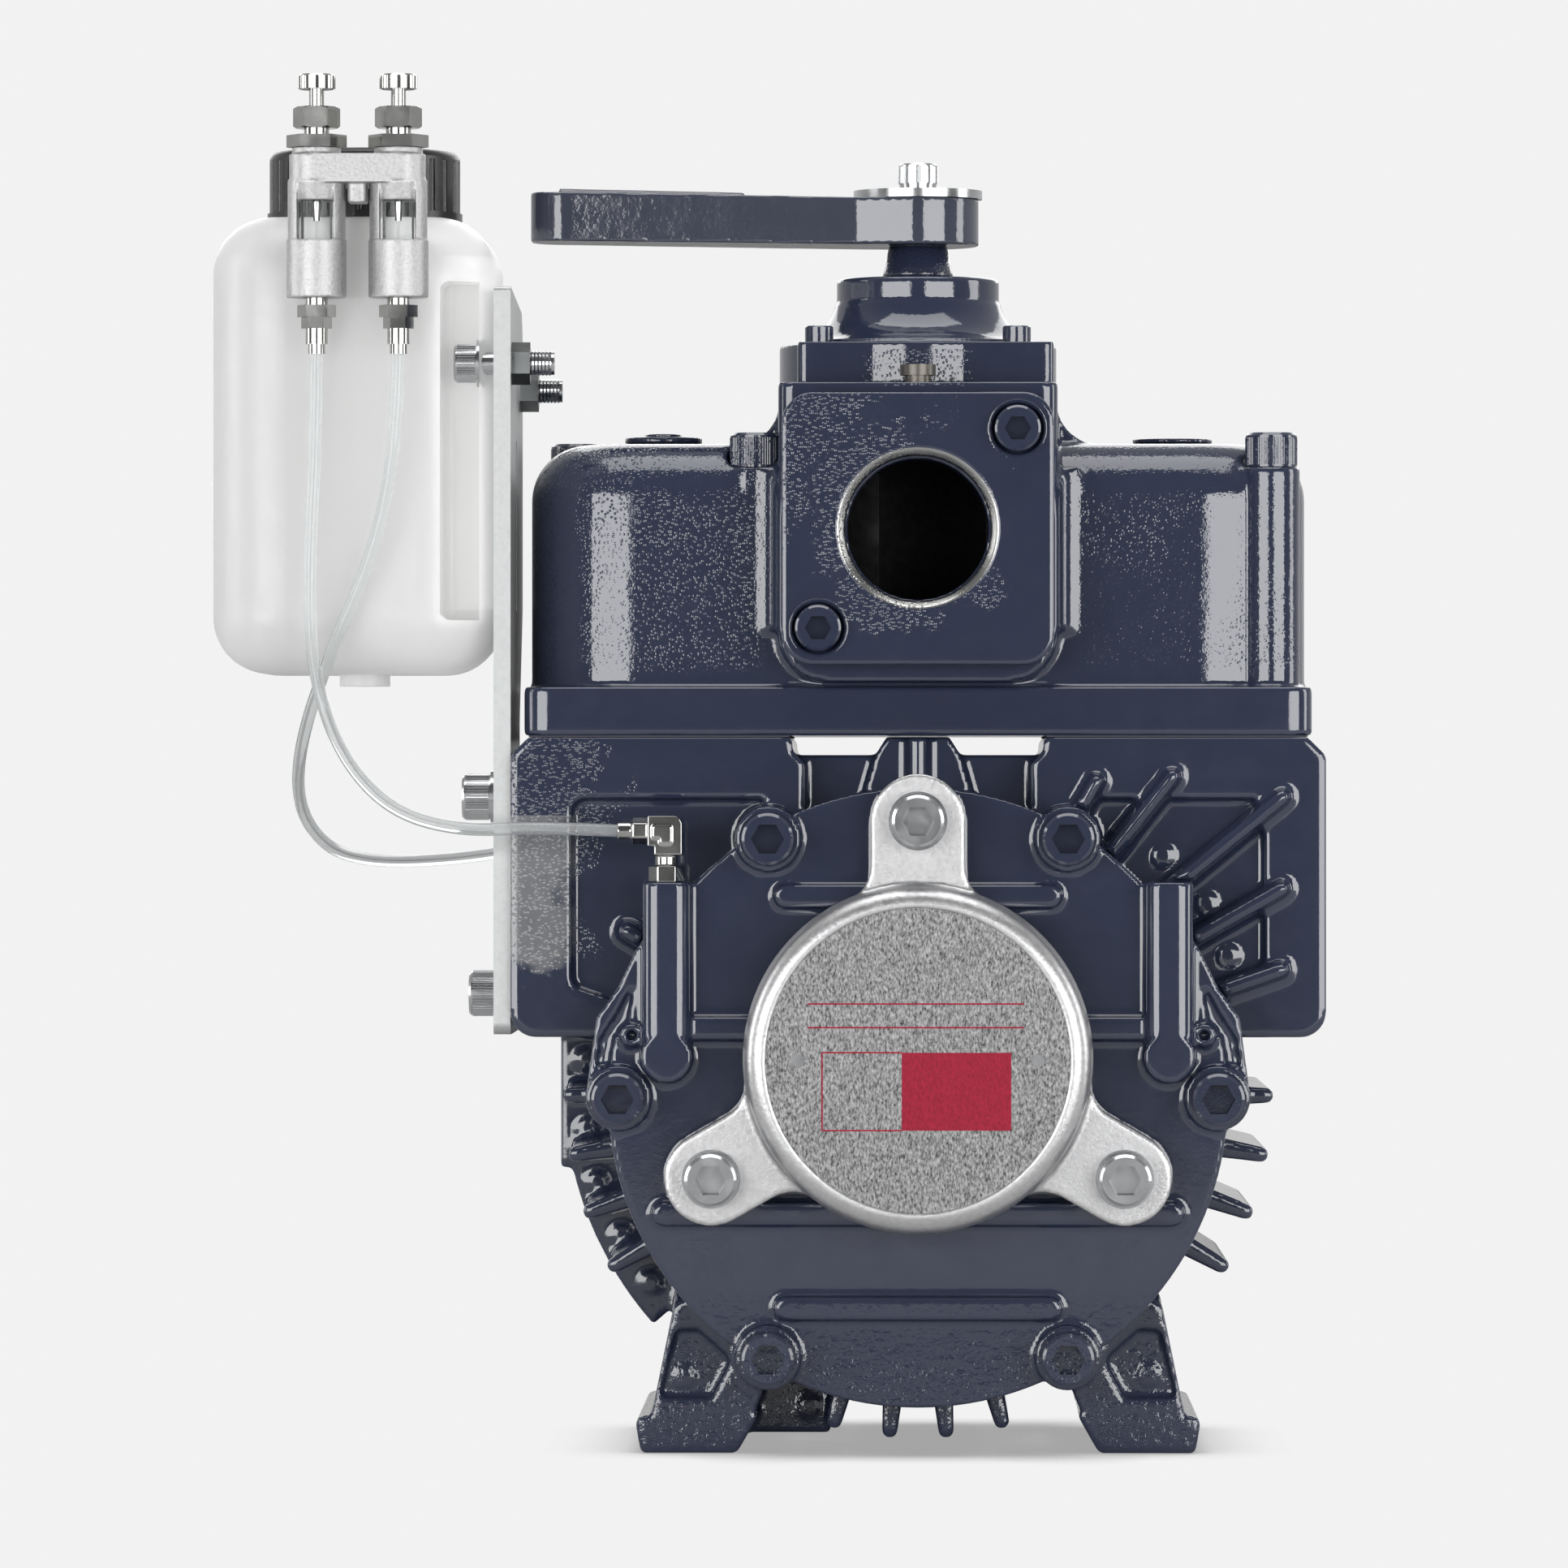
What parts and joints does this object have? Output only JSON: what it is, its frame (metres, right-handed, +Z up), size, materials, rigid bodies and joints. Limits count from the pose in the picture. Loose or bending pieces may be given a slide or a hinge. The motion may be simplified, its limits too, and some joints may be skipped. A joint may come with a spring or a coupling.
{
  "type": "rotary vane vacuum pump",
  "caption": "Rotary vane vacuum pump with a four-way valve manifold and lever, and a drip-feed oil bottle on a side bracket.",
  "frame": {"origin": "centre of the four foot bolt holes on the floor plane", "axes": "+Z up, +Y along the rotor axis towards the drive shaft's free end, +X to the right seen from the plate end"},
  "size_m": [0.3936, 0.3039, 0.4825],
  "materials": {
    "navy_paint": "gloss enamel over rough sand-cast iron",
    "cast_aluminium": "bright cast aluminium, fine grain",
    "zinc_plated": "zinc plated, semi gloss",
    "dark_zinc": "dull zinc",
    "galvanised_plate": "galvanised sheet, satin",
    "machined_steel": "machined and ground",
    "brushed_plate": "brushed plate with a plain red block",
    "gasket": "compressed fibre sheet",
    "seal_rubber": "black nitrile",
    "rotor_iron": "machined grey iron, oiled",
    "vane_fibre": "phenolic fibre",
    "plug_bronze": "dull phosphated",
    "milky_plastic": "translucent white polyethylene",
    "black_plastic": "ribbed moulding, semi gloss",
    "sight_glass": "clear",
    "nickel_brass": "nickel plated, bright",
    "clear_tube": "clear flexible hose"
  },
  "bodies": {
    "pump": {"pump_housing": "navy_paint", "front_end_cover": "navy_paint", "rear_end_cover": "navy_paint", "cover_screws": "navy_paint", "front_cover_gasket": "gasket", "rear_cover_gasket": "gasket", "front_bearing_cap": "cast_aluminium", "rear_bearing_cap": "cast_aluminium", "cap_washers": "zinc_plated", "cap_screws": "zinc_plated", "name_plate": "brushed_plate", "name_plate_rivets": "zinc_plated", "front_bearing_outer_ring": "machined_steel", "rear_bearing_outer_ring": "machined_steel", "shaft_seal": "seal_rubber", "manifold": "navy_paint", "manifold_gasket": "gasket", "manifold_screws": "navy_paint", "manifold_plugs": "navy_paint", "front_port_flange": "navy_paint", "rear_port_flange": "navy_paint", "port_gaskets": "gasket", "port_screws": "navy_paint", "valve_cover": "navy_paint", "valve_cover_gasket": "gasket", "valve_cover_screws": "navy_paint", "stem_seal": "seal_rubber", "gauge_plug": "plug_bronze", "bracket_plate": "galvanised_plate", "bracket_screws": "zinc_plated", "bracket_washers": "zinc_plated", "bottle_washers": "zinc_plated", "bottle_screws": "zinc_plated", "bottle_nuts": "dark_zinc", "oil_bottle": "milky_plastic", "bottle_cap": "black_plastic", "oiler_block": "cast_aluminium", "sight_glasses": "sight_glass", "drip_nozzles": "nickel_brass", "needle_glands": "nickel_brass", "feed_fittings": "nickel_brass", "elbow_fittings": "nickel_brass", "front_oil_tube": "clear_tube", "rear_oil_tube": "clear_tube"},
    "rotor_group": {"rotor": "rotor_iron", "drive_shaft": "machined_steel", "vanes": "vane_fibre", "front_bearing_inner_ring": "machined_steel", "front_bearing_rollers": "machined_steel", "rear_bearing_inner_ring": "machined_steel", "rear_bearing_rollers": "machined_steel"},
    "valve": {"valve_rotor": "rotor_iron", "valve_lever": "navy_paint", "lever_washer": "zinc_plated", "lever_screw": "zinc_plated"},
    "left_needle": {"left_needle": "nickel_brass"},
    "left_knob": {"left_knob": "nickel_brass"},
    "right_needle": {"right_needle": "nickel_brass"},
    "right_knob": {"right_knob": "nickel_brass"}
  },
  "joints": [
    {"name": "rotor_spin", "type": "hinge", "parent": "pump", "child": "rotor_group", "pos_m": [0, 0, 0.139], "axis": [0, 1, 0], "continuous": true},
    {"name": "valve_turn", "type": "hinge", "parent": "pump", "child": "valve", "pos_m": [0, 0, 0.4], "axis": [0, 0, 1], "range_deg": [0, 90]},
    {"name": "left_needle_lift", "type": "slide", "parent": "pump", "child": "left_needle", "axis": [0, 0, 1], "range_m": [0, 0.0016]},
    {"name": "left_knob_turn", "type": "hinge", "parent": "left_needle", "child": "left_knob", "pos_m": [-0.2101, -0.0845, 0.4795], "axis": [0, 0, 1], "range_deg": [0, 720]},
    {"name": "right_needle_lift", "type": "slide", "parent": "pump", "child": "right_needle", "axis": [0, 0, 1], "range_m": [0, 0.0016]},
    {"name": "right_knob_turn", "type": "hinge", "parent": "right_needle", "child": "right_knob", "pos_m": [-0.1815, -0.0845, 0.4795], "axis": [0, 0, 1], "range_deg": [0, 720]}
  ],
  "couplings": [
    {"joint": "left_knob_turn", "follows": "left_needle_lift", "rad_per_m": 7854},
    {"joint": "right_knob_turn", "follows": "right_needle_lift", "rad_per_m": 7854}
  ]
}
